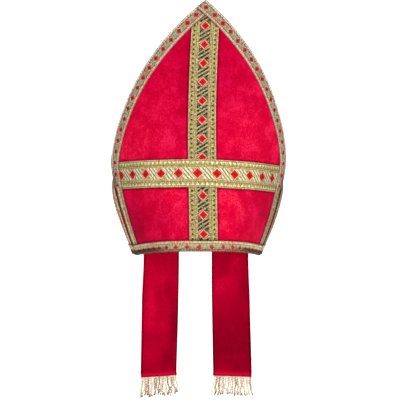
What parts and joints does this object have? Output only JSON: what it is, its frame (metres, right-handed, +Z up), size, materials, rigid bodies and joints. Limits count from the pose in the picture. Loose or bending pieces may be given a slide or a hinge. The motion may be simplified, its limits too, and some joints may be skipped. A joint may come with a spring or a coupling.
{
  "type": "bishop mitre",
  "caption": "Tall two-horned ceremonial hat in crimson velvet, edged and crossed with gold braid, with two fringed lappets hanging from its back rim.",
  "frame": {"origin": "middle of the head opening, in the plane of the rim's two side corners", "axes": "+Z up to the horns' tips, -Y the way the front panel faces, +X to the viewer's right when the front is looked at"},
  "size_m": [0.2491, 0.1928, 0.5584],
  "materials": {
    "crimson_velvet": "short-pile velvet",
    "narrow_gold_braid": "woven metallic-thread braid",
    "wide_gold_galloon": "woven metallic-thread galloon",
    "cream_gold_fringe": "twisted cord fringe"
  },
  "bodies": {
    "root": {"front_panel": "crimson_velvet", "back_panel": "crimson_velvet", "left_lappet": "crimson_velvet", "right_lappet": "crimson_velvet", "front_rim_braid": "narrow_gold_braid", "front_left_border": "narrow_gold_braid", "front_right_border": "narrow_gold_braid", "back_rim_braid": "narrow_gold_braid", "back_left_border": "narrow_gold_braid", "back_right_border": "narrow_gold_braid", "upright_band": "wide_gold_galloon", "cross_band": "wide_gold_galloon", "left_fringe": "cream_gold_fringe", "right_fringe": "cream_gold_fringe"}
  },
  "joints": []
}
